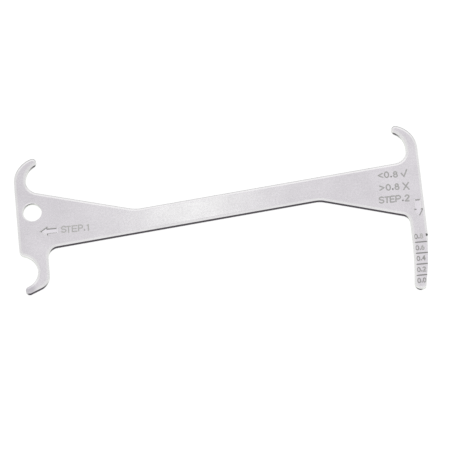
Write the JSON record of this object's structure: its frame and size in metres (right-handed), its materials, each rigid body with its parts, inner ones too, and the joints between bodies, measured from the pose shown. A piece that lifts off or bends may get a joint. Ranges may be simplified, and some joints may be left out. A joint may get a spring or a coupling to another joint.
{
  "type": "chain wear gauge",
  "caption": "Flat steel gauge that seats on one roller of a bicycle chain and reads the chain's wear at a marked tongue some links on.",
  "frame": {"origin": "middle of the plate's outer box, on the back face that the plate lies on", "axes": "+X along the plate from the roller notch to the marked tongue, +Y towards the two upper hooks, +Z out of the marked face"},
  "size_m": [0.139, 0.059, 0.002],
  "materials": {
    "plated_steel": "satin nickel plating over blanked steel"
  },
  "bodies": {
    "root": {"gauge_plate": "plated_steel"}
  },
  "joints": []
}
